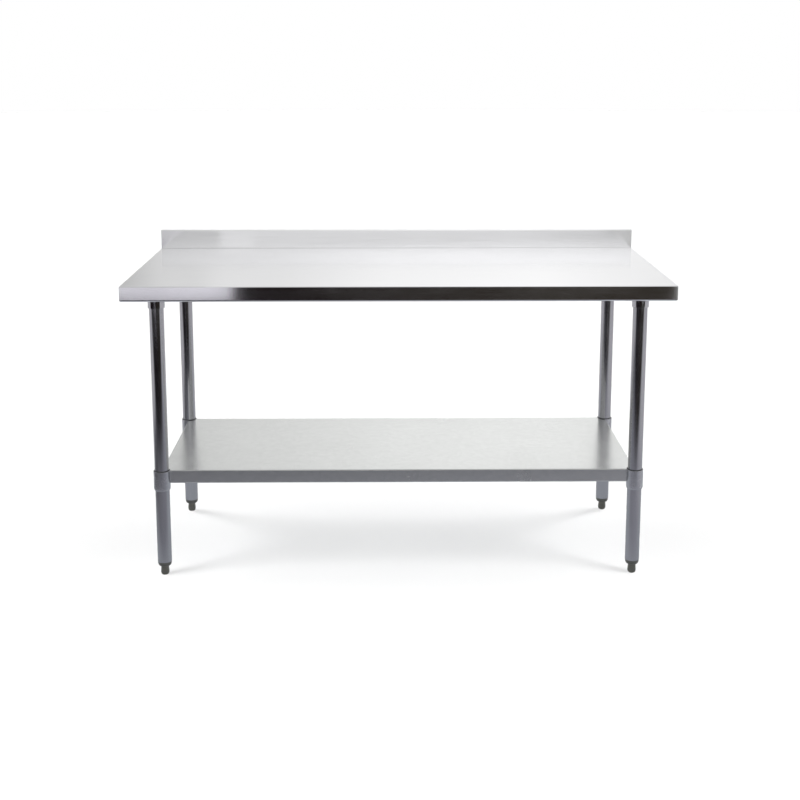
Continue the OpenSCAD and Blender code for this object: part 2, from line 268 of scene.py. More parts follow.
def spangled_zinc(name, colour, roughness, crystal_scale, contrast, gloss_range, relief):
    """Galvanised sheet: zinc crystals that differ a little in shade and gloss, with a fine frost."""
    material, tree, shader = new_material(name, Metallic=1.0)
    place = object_place(tree)
    shift = node(
        tree, "ShaderNodeTexNoise", {"Vector": place}, {"Scale": CRYSTAL_WOBBLE_SCALE, "Detail": 2.0}
    ).outputs["Color"]
    wobble = node(
        tree, "ShaderNodeMixRGB", {"Color1": place, "Color2": shift}, {"Fac": CRYSTAL_WOBBLE}
    ).outputs["Color"]
    crystals = node(tree, "ShaderNodeTexVoronoi", {"Vector": wobble}, {"Scale": crystal_scale})
    shade = split(tree, crystals.outputs["Color"])[0]
    frost = noise(tree, place, FROST_SCALE, detail=3.0)
    clouds = noise(tree, place, CLOUD_SCALE, detail=4.0)
    mixed = add(
        tree, multiply(tree, shade, CRYSTAL_SHARE), multiply(tree, frost, 1.0 - CRYSTAL_SHARE)
    )
    tint(tree, shader, colour, mixed, contrast)
    crystal_gloss = (roughness - gloss_range, roughness + gloss_range)
    roughen(tree, shader, (mixed, WIDE, crystal_gloss), (clouds, UPPER, (-0.02, 0.03)))
    edges = bump(tree, shader, shade, strength=relief, distance=0.05 * MM)
    bump(tree, shader, frost, strength=relief, distance=0.03 * MM, below=edges)
    return material


def drawn_tube(name):
    """Leg tube: faint draw lines along its length and a thin uneven zinc film."""
    material, tree, shader = new_material(name, Metallic=1.0)
    place = object_place(tree)
    lines = noise(tree, scaled(tree, place, DRAW_LINE_SCALE), 1.0, detail=3.0)
    film = noise(tree, scaled(tree, place, ZINC_FILM_SCALE), 1.0, detail=4.0)
    tint(tree, shader, LEG_ZINC, film, 0.05)
    roughen(tree, shader, (lines, MIDDLE, (0.13, 0.18)), (film, MIDDLE, (-0.02, 0.05)))
    bump(tree, shader, lines, strength=0.05, distance=0.03 * MM)
    return material


def cast_metal(name, colour, roughness):
    """Die-cast aluminium: satin, with a fine sandy skin and softer patches."""
    material, tree, shader = new_material(name, Metallic=1.0)
    place = object_place(tree)
    sand = noise(tree, place, SAND_SCALE, detail=3.0)
    flow = noise(tree, place, FLOW_SCALE, detail=4.0)
    tint(tree, shader, colour, flow, 0.06)
    flow_gloss = (roughness - 0.04, roughness + 0.05)
    roughen(tree, shader, (flow, MIDDLE, flow_gloss), (sand, MIDDLE, (-0.02, 0.03)))
    bump(tree, shader, sand, strength=0.10, distance=0.05 * MM)
    return material


def plated_steel(name, colour, roughness):
    """Bright plated fasteners, with light tool marks."""
    material, tree, shader = new_material(name, Metallic=1.0)
    place = object_place(tree)
    marks = noise(tree, place, TOOL_MARK_SCALE, detail=3.0)
    hue = noise(tree, place, PLATING_SCALE, detail=2.0)
    tint(tree, shader, colour, hue, 0.08)
    roughen(tree, shader, (marks, MIDDLE, (roughness - 0.06, roughness + 0.08)))
    bump(tree, shader, marks, strength=0.1, distance=0.05 * MM)
    return material


def moulded_plastic(name, colour, roughness):
    """Moulded plastic with a fine spark-eroded texture and slight gloss patches."""
    material, tree, shader = new_material(name, Metallic=0.0, IOR=1.5)
    place = object_place(tree)
    texture = noise(tree, place, SPARK_SCALE, detail=2.0)
    patches = noise(tree, place, PATCH_SCALE, detail=4.0)
    tint(tree, shader, colour, patches, 0.12)
    texture_gloss = (roughness - 0.05, roughness + 0.05)
    roughen(tree, shader, (texture, MIDDLE, texture_gloss), (patches, MIDDLE, (-0.03, 0.05)))
    bump(tree, shader, texture, strength=0.25, distance=0.08 * MM)
    return material


top_steel = brushed_stainless("brushed_stainless")
shelf_zinc = spangled_zinc(
    "shelf_zinc",
    SHELF_TINT,
    roughness=0.24,
    crystal_scale=95.0,
    contrast=0.03,
    gloss_range=0.012,
    relief=0.012,
)
channel_zinc = spangled_zinc(
    "channel_zinc",
    GALVANISED,
    roughness=0.33,
    crystal_scale=70.0,
    contrast=0.10,
    gloss_range=0.04,
    relief=0.05,
)
leg_metal = drawn_tube("leg_tube")
cast_socket = cast_metal("cast_socket", SOCKET_CAST, roughness=0.10)
cast_collar = cast_metal("cast_collar", COLLAR_CAST, roughness=0.22)
bushing_and_shadow_gap_plastic = moulded_plastic("bushing_and_shadow_gap_plastic", BUSHING_SHADOW_GAP_GREY, roughness=0.45)
plated = plated_steel("zinc_plated", ZINC_PLATE, roughness=0.28)
oxide = plated_steel("black_oxide", BLACK_OXIDE, roughness=0.38)
insert_plastic = moulded_plastic("insert_plastic", INSERT_GREY, roughness=0.38)
foot_plastic = moulded_plastic("foot_plastic", FOOT_OLIVE, roughness=0.34)

FINISHES = {
    "work_top": top_steel,
    "front_hat_channel": channel_zinc,
    "rear_hat_channel": channel_zinc,
    "left_cross_channel": channel_zinc,
    "right_cross_channel": channel_zinc,
    "channel_studs": plated,
    "channel_nuts": plated,
    "socket_bolts": plated,
    "socket_nuts": plated,
    "socket_set_screws": oxide,
    "collar_set_screws": oxide,
    "undershelf": shelf_zinc,
    "shelf_hat_channel": channel_zinc,
}
for corner in CORNERS:
    FINISHES["socket_" + corner] = cast_socket
    FINISHES["leg_" + corner] = leg_metal
    FINISHES["insert_" + corner] = insert_plastic
    FINISHES["foot_" + corner] = foot_plastic
    FINISHES["collar_" + corner] = cast_collar

for name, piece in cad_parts.items():
    piece.data.materials.clear()
    piece.data.materials.append(FINISHES[name])

# ---- Turned and lofted pieces ----

TURN = 2 * math.pi
ROUND_SIDES = 72
FASTENER_SIDES = 36
THREAD_SIDES = 18
ARC_STEPS = 6
CHAMFER_SLOPE = math.tan(math.radians(30))
# A thread's depth, as a share of its pitch.
THREAD_DEPTH = 0.55
ROWS_PER_PITCH = 6

# Angles, in degrees, from which an edge is drawn sharp.
SHARP_ANGLE = 38.0
CAST_SHARP_ANGLE = 30.0
HEX_SHARP_ANGLE = 20.0

# Corners nearer than this along both X and Y belong to the same small solid.
SEPARATE_REACH = 12 * MM


def in_scene(name, data):
    """A new object in the scene."""
    made = bpy.data.objects.new(name, data)
    bpy.context.scene.collection.objects.link(made)
    return made


def ring(radius, height, sides=ROUND_SIDES):
    """Points round the Z axis; the radius and height are numbers or functions of the angle."""
    points = []
    for step in range(sides):
        angle = TURN * step / sides
        reach = radius(angle) if callable(radius) else radius
        level = height(angle) if callable(height) else height
        points.append((reach * math.cos(angle), reach * math.sin(angle), level))
    return points


def rings_along(outline, sides=ROUND_SIDES):
    """One ring for each (radius, height) point."""
    return [ring(reach, level, sides) for reach, level in outline]


def loft(shape, rings, place=Matrix.Identity(4), hollow=False, second=()):
    """Skins a row of rings into one closed solid: capped at both ends, or closed on itself round a hole.

    The bands whose numbers are in second get the piece's second material.
    """
    rows = [[shape.verts.new(place @ Vector(point)) for point in points] for points in rings]
    pairs = list(zip(rows, rows[1:]))
    if hollow:
        pairs.append((rows[-1], rows[0]))
    else:
        shape.faces.new(rows[0])
        shape.faces.new(rows[-1])
    for number, (low, high) in enumerate(pairs):
        for step in range(len(low)):
            after = (step + 1) % len(low)
            face = shape.faces.new((low[step], low[after], high[after], high[step]))
            face.material_index = 1 if number in second else 0


def arc(centre_r, centre_z, radius, start, end, steps=ARC_STEPS):
    """(radius, height) points along an arc; angles in degrees, 0 outwards and 90 up."""
    points = []
    for step in range(steps + 1):
        angle = math.radians(start + (end - start) * step / steps)
        points.append((centre_r + radius * math.cos(angle), centre_z + radius * math.sin(angle)))
    return points


def rounded_end(inner, outer, low, rise, steps=ARC_STEPS):
    """(radius, height) points up a quarter ellipse, from a flat end out to an upright wall."""
    points = []
    for step in range(steps + 1):
        angle = math.pi / 2 * step / steps
        points.append((inner + (outer - inner) * math.sin(angle), low + rise * (1 - math.cos(angle))))
    return points


def hexagon(flat):
    """Distance from the axis to a hexagon's outline, by angle."""
    return lambda angle: flat / math.cos((angle % (TURN / 6)) - TURN / 12)


def chamfered(flat, rim, level, side):
    """Height of a hexagon's edge where a chamfer cuts its corners; side is 1 for the top face."""
    outline = hexagon(flat)
    return lambda angle: level - side * CHAMFER_SLOPE * (outline(angle) - rim)


def thread_rings(radius, low, high, pitch, sides=THREAD_SIDES):
    """Rows of a screw thread between two heights."""
    depth = THREAD_DEPTH * pitch
    count = round((high - low) / pitch * ROWS_PER_PITCH)

    def reach(level):
        def at(angle):
            phase = (level / pitch - angle / TURN) % 1.0
            return radius - depth * abs(2 * phase - 1)

        return at

    levels = [low + (high - low) * step / count for step in range(count + 1)]
    return [ring(reach(level), level, sides) for level in levels]


def finished(name, shape, body, node_name, slot, *materials, sharp_angle=SHARP_ANGLE):
    """Turns the built shape into a piece that stands for a CAD node."""
    bmesh.ops.recalc_face_normals(shape, faces=shape.faces)
    mesh = bpy.data.meshes.new(name)
    shape.to_mesh(mesh)
    shape.free()
    for face in mesh.polygons:
        face.use_smooth = True
    mesh.set_sharp_from_angle(angle=math.radians(sharp_angle))
    for material in materials:
        mesh.materials.append(material)
    piece = in_scene(name, mesh)
    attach(piece, body)
    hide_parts(node_name)


def separate_boxes(node_name):
    """Lowest and highest corner of each small solid in a CAD node; they stand apart in X or in Y."""
    boxes = []
    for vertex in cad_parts[node_name].data.vertices:
        for low, high in boxes:
            near = all(
                low[axis] - SEPARATE_REACH < vertex.co[axis] < high[axis] + SEPARATE_REACH
                for axis in range(2)
            )
            if near:
                for axis in range(3):
                    low[axis] = min(low[axis], vertex.co[axis])
                    high[axis] = max(high[axis], vertex.co[axis])
                break
        else:
            boxes.append((list(vertex.co), list(vertex.co)))
    return boxes


def base_of(low, high):
    """Moves the origin to the middle of a box's bottom."""
    return Matrix.Translation(((low[0] + high[0]) / 2, (low[1] + high[1]) / 2, low[2]))


# ---- Fasteners ----

SCREW_PITCH = 1.0 * MM
STUD_PITCH = 0.8 * MM
STUD_THREAD = 3.6 * MM
# The circle where a hexagon's chamfer starts, as a share of its half width.
HEX_RIM = 0.95
TIP_CHAMFER = 0.6 * MM
COUNTERSINK = 0.4 * MM
CHANNEL_NUT_HOLE = 2.6 * MM
SOCKET_NUT_HOLE = 3.1 * MM
BOLT_SHANK = 3.0 * MM
BOLT_HEAD = 4.0 * MM
BOLT_WASHER = 0.4 * MM
# A bolt head's dimple; its floor and edge are shares of the rim circle.
DIMPLE_DEPTH = 0.25 * MM
DIMPLE_FLOOR = 0.3
DIMPLE_EDGE = 0.5
KEY_FLAT = 1.47 * MM
KEY_DEPTH = 2.5 * MM


def nut_rings(flat, height, hole):
    """A hexagonal nut from height 0, chamfered on both faces and countersunk."""
    rim = HEX_RIM * flat
    sink = COUNTERSINK
    outline = [
        (hole, sink),
        (hole + sink, 0.0),
        (rim, 0.0),
        (hexagon(flat), chamfered(flat, rim, 0.0, -1)),
        (hexagon(flat), chamfered(flat, rim, height, 1)),
        (rim, height),
        (hole + sink, height),
        (hole, height - sink),
    ]
    return rings_along(outline, FASTENER_SIDES)


def hex_nuts(node_name, hole):
    """Nuts with chamfered faces, in place of the node's plain ones."""
    shape = bmesh.new()
    for low, high in separate_boxes(node_name):
        flat = (high[1] - low[1]) / 2
        loft(shape, nut_rings(flat, high[2] - low[2], hole), base_of(low, high), hollow=True)
    name = node_name + "_chamfered"
    finished(name, shape, "table_frame", node_name, "fasteners", plated, sharp_angle=HEX_SHARP_ANGLE)


def threaded_studs(node_name):
    """Studs that hang from the sheet, threaded over the part that shows below the nut."""
    shape = bmesh.new()
    for low, high in separate_boxes(node_name):
        radius = (high[0] - low[0]) / 2
        rings = [ring(radius - TIP_CHAMFER, 0.0, THREAD_SIDES)]
        rings += thread_rings(radius, TIP_CHAMFER, STUD_THREAD, STUD_PITCH)
        rings.append(ring(radius, STUD_THREAD + STUD_PITCH / 2, THREAD_SIDES))
        rings.append(ring(radius, high[2] - low[2], THREAD_SIDES))
        loft(shape, rings, base_of(low, high))
    finished(node_name + "_threaded", shape, "table_frame", node_name, "fasteners", plated)


def hex_bolts(node_name):
    """Bolts with a plain shank and a head below that is chamfered and dimpled."""
    shape = bmesh.new()
    for low, high in separate_boxes(node_name):
        flat = (high[1] - low[1]) / 2
        rim = HEX_RIM * flat
        length = high[2] - low[2]
        outline = [
            (DIMPLE_FLOOR * rim, DIMPLE_DEPTH),
            (DIMPLE_EDGE * rim, 0.0),
            (rim, 0.0),
            (hexagon(flat), chamfered(flat, rim, 0.0, -1)),
            (hexagon(flat), BOLT_HEAD - BOLT_WASHER),
            (rim, BOLT_HEAD - BOLT_WASHER),
            (rim, BOLT_HEAD),
            (BOLT_SHANK, BOLT_HEAD),
            (BOLT_SHANK, length - TIP_CHAMFER),
            (BOLT_SHANK - TIP_CHAMFER, length),
        ]
        loft(shape, rings_along(outline, FASTENER_SIDES), base_of(low, high))
    name = node_name + "_chamfered"
    finished(name, shape, "table_frame", node_name, "fasteners", plated, sharp_angle=HEX_SHARP_ANGLE)


def key_screws(node_name, body):
    """Set screws across Y with a hexagonal key recess in the end that faces the table's middle."""
    shape = bmesh.new()
    for low, high in separate_boxes(node_name):
        radius = (high[0] - low[0]) / 2
        length = high[1] - low[1]
        towards = -1 if low[1] > 0 else 1
        start = low[1] if towards > 0 else high[1]
        place = Matrix.Translation(((low[0] + high[0]) / 2, start, (low[2] + high[2]) / 2))
        place = place @ Matrix.Rotation(-towards * math.pi / 2, 4, "X")
        rings = [ring(radius - TIP_CHAMFER, 0.0, THREAD_SIDES)]
        rings += thread_rings(radius, TIP_CHAMFER, length - TIP_CHAMFER, SCREW_PITCH)
        rings += [
            ring(radius - TIP_CHAMFER, length, THREAD_SIDES),
            ring(hexagon(KEY_FLAT), length, THREAD_SIDES),
            ring(hexagon(KEY_FLAT), length - KEY_DEPTH, THREAD_SIDES),
        ]
        loft(shape, rings, place)
    finished(node_name + "_socketed", shape, body, node_name, "set_screws", oxide)


hex_nuts("channel_nuts", CHANNEL_NUT_HOLE)
hex_nuts("socket_nuts", SOCKET_NUT_HOLE)
threaded_studs("channel_studs")
hex_bolts("socket_bolts")
key_screws("socket_set_screws", "table_frame")
key_screws("collar_set_screws", "shelf")

# ---- Inserts and feet ----

NOSE_STEPS = 2 * ARC_STEPS
GROOVE = 0.4 * MM

STEM_R = 6.0 * MM
STEM_THREAD = 30.0 * MM
STEM_PITCH = 1.75 * MM
STEM_ROOT = 0.5 * MM
STEM_RELIEF = 0.8 * MM
STEM_TIP = 1.0 * MM
FOOT_ROUND = 9.0 * MM
FOOT_TAPER = 1.2 * MM
FOOT_TIP = 7.0 * MM
FOOT_EDGE = 0.8 * MM
FOOT_GAP = 0.2 * MM
GRIP_DROP = 4.5 * MM

INSERT_TIP = 13.5 * MM
INSERT_EDGE = 0.7 * MM
PLUG_INSET = 1.6 * MM
STEM_CLEARANCE = 0.08 * MM
PLUG_RIBS = 8
RIB_DEPTH = 0.5 * MM
PLUG_LEAD = 3.0 * MM
PLUG_LEAD_IN = 2.0 * MM


def axis_of(node_name):
    """The vertical axis of a round CAD node."""
    low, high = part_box(node_name)
    return Matrix.Translation(((low.x + high.x) / 2, (low.y + high.y) / 2, 0.0))


def bullet_foot(corner):
    """Turned foot: a rounded base, a grip groove under the shoulder and a threaded stem."""
    low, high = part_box("foot_" + corner)
    radius = (high.x - low.x) / 2
    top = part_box("insert_" + corner)[0].z - FOOT_GAP
    neck = radius - FOOT_TAPER

    def side(height):
        return radius - FOOT_TAPER * (height - FOOT_ROUND) / (top - FOOT_ROUND)

    outline = [(FOOT_TIP - FOOT_EDGE, 0.0)]
    outline += rounded_end(FOOT_TIP, radius, 0.0, FOOT_ROUND, NOSE_STEPS)
    for shift, cut in ((-2, 0), (-1, 1), (1, 1), (2, 0)):
        level = top - GRIP_DROP + shift * GROOVE
        outline.append((side(level) - cut * GROOVE, level))
    outline += arc(neck - FOOT_EDGE, top - FOOT_EDGE, FOOT_EDGE, 0.0, 90.0)
    outline += [(STEM_R + STEM_ROOT, top), (STEM_R, top + STEM_ROOT)]
    rings = rings_along(outline)
    rings += thread_rings(STEM_R, top + STEM_RELIEF, top + STEM_THREAD, STEM_PITCH, ROUND_SIDES)
    rings += rings_along([
        (STEM_R, top + STEM_THREAD + STEM_PITCH),
        (STEM_R, high.z - STEM_TIP),
        (STEM_R - STEM_TIP, high.z),
    ])
    shape = bmesh.new()
    loft(shape, rings, axis_of("foot_" + corner))
    body = "foot_" + corner
    finished("bullet_foot_" + corner, shape, body, "foot_" + corner, "feet", foot_plastic)


def leg_insert(corner):
    """Moulded insert: a rounded nose with a shadow groove where it meets the tube, and a ribbed plug."""
    low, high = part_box("insert_" + corner)
    tube_low, tube_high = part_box("leg_" + corner)
    rim = (tube_high.x - tube_low.x) / 2
    plug = rim - PLUG_INSET
    seat = tube_low.z
    nose = seat - low.z
    hole = STEM_R + STEM_CLEARANCE
    outline = [(hole, low.z + INSERT_EDGE), (hole + INSERT_EDGE, low.z)]
    outline += rounded_end(INSERT_TIP, rim - GROOVE, low.z, nose - 2 * GROOVE, NOSE_STEPS)
    outline += [(rim - 2 * GROOVE, seat - GROOVE), (rim - GROOVE, seat), (plug, seat)]
    ribbed = high.z - seat - PLUG_LEAD
    for rib in range(PLUG_RIBS):
        outline.append((plug - (RIB_DEPTH if rib % 2 else 0.0), seat + ribbed * (rib + 1) / PLUG_RIBS))
    outline += [(plug - PLUG_LEAD_IN, high.z), (hole, high.z)]
    shape = bmesh.new()
    loft(shape, rings_along(outline), axis_of("insert_" + corner), hollow=True)
    name = "leg_insert_" + corner
    finished(name, shape, "table_frame", "insert_" + corner, "leg_inserts", insert_plastic)


for corner in CORNERS:
    bullet_foot(corner)
    leg_insert(corner)

# ---- Cast sockets and collars ----

SQUARE_SIDES = 96
WALL_STEPS = 24
WALL_MARGIN = 2.0 * MM

CASTING_BORE = 20.3 * MM
CASTING_R = 23.3 * MM
CASTING_EDGE = 0.6 * MM
BORE_RELIEF = 0.2 * MM
PLATE_HALF = 39.0 * MM
PLATE_THICK = 4.0 * MM
PLATE_CORNER = 6.0 * MM
FILLET = 4.0 * MM
BOSS_RISE = 1.6 * MM
BOSS_R = 6.5 * MM
BOSS_STEEPNESS = 2.5

TAB_INSET = 2.0 * MM
TAB_REACH = 60.0 * MM
TAB_THICK = 3.0 * MM
TAB_CORNER = 6.0 * MM
TAB_OVERLAP = 1.2 * MM
TAB_ROOT_STEPS = 12
COLLAR_TAPER = 10.0 * MM
COLLAR_RIM = 21.2 * MM
LIP_RISE = 1.8 * MM
LIP_DROP = 2.0 * MM
LIP_R = 22.3 * MM
LIP_BORE = 20.15 * MM


def rounded_square(half, corner_r):
    """Distance from the axis to the outline of a square with rounded corners, by angle."""

    def reach(angle):
        turned = (angle + TURN / 8) % (TURN / 4) - TURN / 8
        flat = half / math.cos(turned)
        side = half * math.tan(abs(turned))
        if side <= half - corner_r:
            return flat
        centre = half - corner_r
        diagonal = centre * math.sqrt(2)
        off = TURN / 8 - abs(turned)
        return diagonal * math.cos(off) + math.sqrt(corner_r**2 - (diagonal * math.sin(off)) ** 2)

    return reach


def bossed(radius, level, boss_z, towards):
    """The ring's outline with a shallow round boss where the set screw sits, on one Y side."""

    def reach(angle):
        away = math.atan2(math.cos(angle), towards * math.sin(angle)) * radius
        share = 1.0 - ((away / BOSS_R) ** 2 + ((level - boss_z) / BOSS_R) ** 2)
        return radius + BOSS_RISE * min(1.0, max(0.0, BOSS_STEEPNESS * share))

    return reach


def bossed_rings(outline, boss_z, towards):
    """Rings with the boss, one for each (radius, height) point."""
    return [
        ring(bossed(radius, level, boss_z, towards), level, SQUARE_SIDES) for radius, level in outline
    ]


def wall(start, end):
    """(radius, height) points up a casting's straight wall."""
    return [(CASTING_R, start + (end - start) * step / WALL_STEPS) for step in range(WALL_STEPS + 1)]


def heights_by_corner(node_name):
    """Middle height of each separate solid of a node, by the corner it is nearest to."""
    found = {}
    for low, high in separate_boxes(node_name):
        side = "rear" if low[1] + high[1] > 0 else "front"
        end = "right" if low[0] + high[0] > 0 else "left"
        found[side + "_" + end] = (low[2] + high[2]) / 2
    return found


def cast_socket_piece(corner, screw_z):
    """Leg socket: a bossed ring, a fillet and a square plate with rounded corners."""
    low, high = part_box("socket_" + corner)
    towards = -math.copysign(1.0, low.y)
    plate_low = high.z - PLATE_THICK
    fillet_low = plate_low - FILLET
    edge = CASTING_EDGE
    lower_rim = [(CASTING_BORE + BORE_RELIEF, low.z)]
    lower_rim += arc(CASTING_R - edge, low.z + edge, edge, -90.0, 0.0)
    plate = rounded_square(PLATE_HALF, PLATE_CORNER)
    inner = rounded_square(PLATE_HALF - edge, PLATE_CORNER - edge)
    rings = rings_along(lower_rim, SQUARE_SIDES)
    rings += bossed_rings(wall(low.z + WALL_MARGIN, fillet_low), screw_z, towards)
    rings += rings_along(arc(CASTING_R + FILLET, fillet_low, FILLET, 180.0, 90.0)[1:], SQUARE_SIDES)
    rings += [
        ring(inner, plate_low, SQUARE_SIDES),
        ring(plate, plate_low + edge, SQUARE_SIDES),
        ring(plate, high.z - edge, SQUARE_SIDES),
        ring(inner, high.z, SQUARE_SIDES),
        ring(CASTING_BORE, high.z, SQUARE_SIDES),
    ]
    shape = bmesh.new()
    loft(shape, rings, axis_of("leg_" + corner), hollow=True)
    name, stands_for = "cast_socket_" + corner, "socket_" + corner
    finished(
        name, shape, "table_frame", stands_for, "sockets", cast_socket, sharp_angle=CAST_SHARP_ANGLE
    )


def tab_plate(shape, place, level, side_x, side_y):
    """The collar's tab: a plate with rounded corners that starts inside the ring's wall."""
    root = CASTING_BORE + TAB_OVERLAP
    along = math.sqrt(root**2 - TAB_INSET**2)
    far, near = TAB_REACH - TAB_CORNER, TAB_INSET + TAB_CORNER
    outline = []
    for quarter, (x, y) in enumerate(((far, near), (far, far), (near, far)), start=-1):
        outline += arc(x, y, TAB_CORNER, quarter * 90.0, (quarter + 1) * 90.0)
    first, last = math.degrees(math.atan2(along, TAB_INSET)), math.degrees(math.atan2(TAB_INSET, along))
    outline += arc(0.0, 0.0, root, first, last, TAB_ROOT_STEPS)
    rows = [
        [shape.verts.new(place @ Vector((side_x * x, side_y * y, height))) for x, y in outline]
        for height in (level, level + TAB_THICK)
    ]
    for row in rows:
        shape.faces.new(row)
    for step in range(len(outline)):
        after = (step + 1) % len(outline)
        shape.faces.new((rows[0][step], rows[0][after], rows[1][after], rows[1][step]))


def cast_collar_piece(corner, screw_z):
    """Sliding collar: a bossed ring with a curved lower rim, a tab and a near-black bushing lip on top,
    whose dark also paints the shadow gap round the leg.
    """
    low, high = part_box("collar_" + corner)
    inwards = -math.copysign(1.0, low.x)
    towards = -math.copysign(1.0, low.y)
    edge = CASTING_EDGE
    outer = rounded_end(COLLAR_RIM, CASTING_R, low.z, COLLAR_TAPER)
    outer += wall(low.z + COLLAR_TAPER, high.z - WALL_MARGIN)[1:]
    rings = [ring(CASTING_BORE, low.z, SQUARE_SIDES)]
    rings += bossed_rings(outer, screw_z, towards)
    rings += rings_along(arc(CASTING_R - edge, high.z - edge, edge, 0.0, 90.0), SQUARE_SIDES)
    # The lip and the top of the bore take the near-black bushing plastic, which also paints the shadow
    # gap round the leg.
    lip = [
        (LIP_R, high.z),
        (LIP_R, high.z + LIP_RISE - edge),
        (LIP_R - edge, high.z + LIP_RISE),
        (LIP_BORE, high.z + LIP_RISE),
        (LIP_BORE, high.z - LIP_DROP),
    ]
    lip_bands = range(len(rings), len(rings) + len(lip) - 1)
    rings += rings_along(lip, SQUARE_SIDES)
    shape = bmesh.new()
    place = axis_of("leg_" + corner)
    loft(shape, rings, place, hollow=True, second=lip_bands)
    shelf_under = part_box("shelf_hat_channel")[1].z
    tab_plate(shape, place, shelf_under - TAB_THICK, inwards, towards)
    name, stands_for = "cast_collar_" + corner, "collar_" + corner
    materials = (cast_collar, bushing_and_shadow_gap_plastic)
    finished(name, shape, "shelf", stands_for, "collars", *materials, sharp_angle=CAST_SHARP_ANGLE)


socket_screw_heights = heights_by_corner("socket_set_screws")
collar_screw_heights = heights_by_corner("collar_set_screws")
for corner in CORNERS:
    cast_socket_piece(corner, socket_screw_heights[corner])
    cast_collar_piece(corner, collar_screw_heights[corner])

# ---- Floor and surround ----

FLOOR_SIDE = 60.0
FLOOR_WHITE = 0.80
SURROUND_R = FLOOR_SIDE / 2 - 1


def hide_from(made, *rays):
    """Leaves an object out of some kinds of ray."""
    for ray in rays:
        setattr(made, "visible_" + ray, False)


def stage_sheet(name, corners):
    """A four-sided sheet that belongs to the stage."""
    mesh = bpy.data.meshes.new(name)
    mesh.from_pydata(corners, [], [(0, 1, 2, 3)])
    made = in_scene(name, mesh)
    return made


def level_sheet(name, side, height):
    """A level square round the origin."""
    half = side / 2
    corners = [(-half, -half), (half, -half), (half, half), (-half, half)]
    return stage_sheet(name, [(x, y, height) for x, y in corners])


def glow_material(name):
    """A material that only glows, with its nodes and the one that glows."""
    material = bpy.data.materials.new(name)
    material.use_nodes = True
    tree = material.node_tree
    tree.nodes.clear()
    glow = node(tree, "ShaderNodeEmission")
    node(tree, "ShaderNodeOutputMaterial", {"Surface": glow.outputs["Emission"]})
    return material, tree, glow


def pale_floor():
    """Plain pale floor without gloss."""
    floor = level_sheet("floor", FLOOR_SIDE, 0.0)
    white = (FLOOR_WHITE, FLOOR_WHITE, FLOOR_WHITE, 1.0)
    material = new_material("pale_floor", Base_Color=white, Roughness=0.9, Specular_IOR_Level=0.0)[0]
    floor.data.materials.append(material)


def white_surround():
    """A plain white globe that only the camera sees."""
    mesh = bpy.data.meshes.new("surround")
    globe = bmesh.new()
    bmesh.ops.create_icosphere(globe, subdivisions=4, radius=SURROUND_R)
    globe.to_mesh(mesh)
    globe.free()
    surround = in_scene("surround", mesh)
    hide_from(surround, "glossy", "diffuse", "shadow", "transmission")
    material, tree, glow = glow_material("surround")
    glow.inputs["Color"].default_value = (1.0, 1.0, 1.0, 1.0)
    mesh.materials.append(material)


pale_floor()
white_surround()

# ---- What the metal reflects ----

# Glowing cards that only reflections see: painted reflections that stand in for studio flags and lights
# out of the picture.

CARD_SIDE = 56.0
CARD_HEIGHT = 0.5 * MM

# Painted tones of the floor in reflections, with painted shade near the table.
NEAR_LEFT = (0.290, 0.292, 0.328)
NEAR_RIGHT = (0.403, 0.405, 0.455)
UNDER_TABLE = (0.50, 0.525, 0.565)
PATCH = (0.14, 0.14, 0.15)
AROUND = (0.72, 0.71, 0.74)
DARK_LEFT = (0.006, 0.003, 0.004)
DARK_RIGHT = (0.030, 0.025, 0.020)
FAR_AWAY = (0.60, 0.60, 0.61)

# Places in metres, along X or Y, between which one floor tone gives way to the next.
NEAR_ACROSS = (-0.8, 0.8)
TABLE_FRONT = (-0.55, -0.25)
PATCH_RIGHT = (-0.8, -1.5)
PATCH_LEFT = (-2.6, -2.1)
PATCH_REAR = (0.2, 0.0)
BESIDE = (0.9, 2.3)
BEHIND = (0.2, 1.4)
DARK_ACROSS = (-0.8, 1.0)
DARK_FRONT = (-1.75, -1.05)
DARK_SLANT = (0.9, 6.9)
DARK_SHIFT = 2.7
FAR_OFF = (7.0, 11.0)

STRIP_TINT = (1.0, 0.98, 1.06)
STRIP_Y = -2.285
END_CARD_Y = -1.2
FLAG_Y = -0.42
FLAG_UP = (0.863, 0.960)


def reflected_only(card):
    """The card is seen only in reflections."""
    hide_from(card, "camera", "diffuse", "shadow", "transmission")


def floor_tone(tree):
    """Painted reflection of the floor as the metal sees it: dim with painted shade near the table, pale
    beside and behind it, dark in front.
    """
    x, y = split(tree, object_place(tree))[:2]
    near = blend(tree, share_between(tree, x, *NEAR_ACROSS), NEAR_LEFT, NEAR_RIGHT)
    near = blend(tree, share_between(tree, y, *TABLE_FRONT), near, UNDER_TABLE)
    # A darker patch of painted shade in the reflection, beside the front left leg only.
    patch_x = multiply(tree, share_between(tree, x, *PATCH_RIGHT), share_between(tree, x, *PATCH_LEFT))
    patch = multiply(tree, patch_x, share_between(tree, y, *PATCH_REAR))
    near = blend(tree, patch, near, PATCH)
    beside = multiply(tree, share_between(tree, unsigned(tree, x), *BESIDE), rest_of(tree, patch))
    behind = share_between(tree, y, *BEHIND)
    around = blend(tree, math_node(tree, "MAXIMUM", beside, behind), near, AROUND)
    dark = blend(tree, share_between(tree, x, *DARK_ACROSS), DARK_LEFT, DARK_RIGHT)
    # The dark starts further in front towards the right.
    forward = add(tree, y, spread(tree, x, *DARK_SLANT, 0.0, DARK_SHIFT))
    tone = blend(tree, share_between(tree, forward, *DARK_FRONT), dark, around)
    # Mid grey far away, which level views of the aprons show.
    far_off = math_node(tree, "MAXIMUM", unsigned(tree, x), unsigned(tree, y))
    return blend(tree, share_between(tree, far_off, *FAR_OFF), tone, FAR_AWAY)


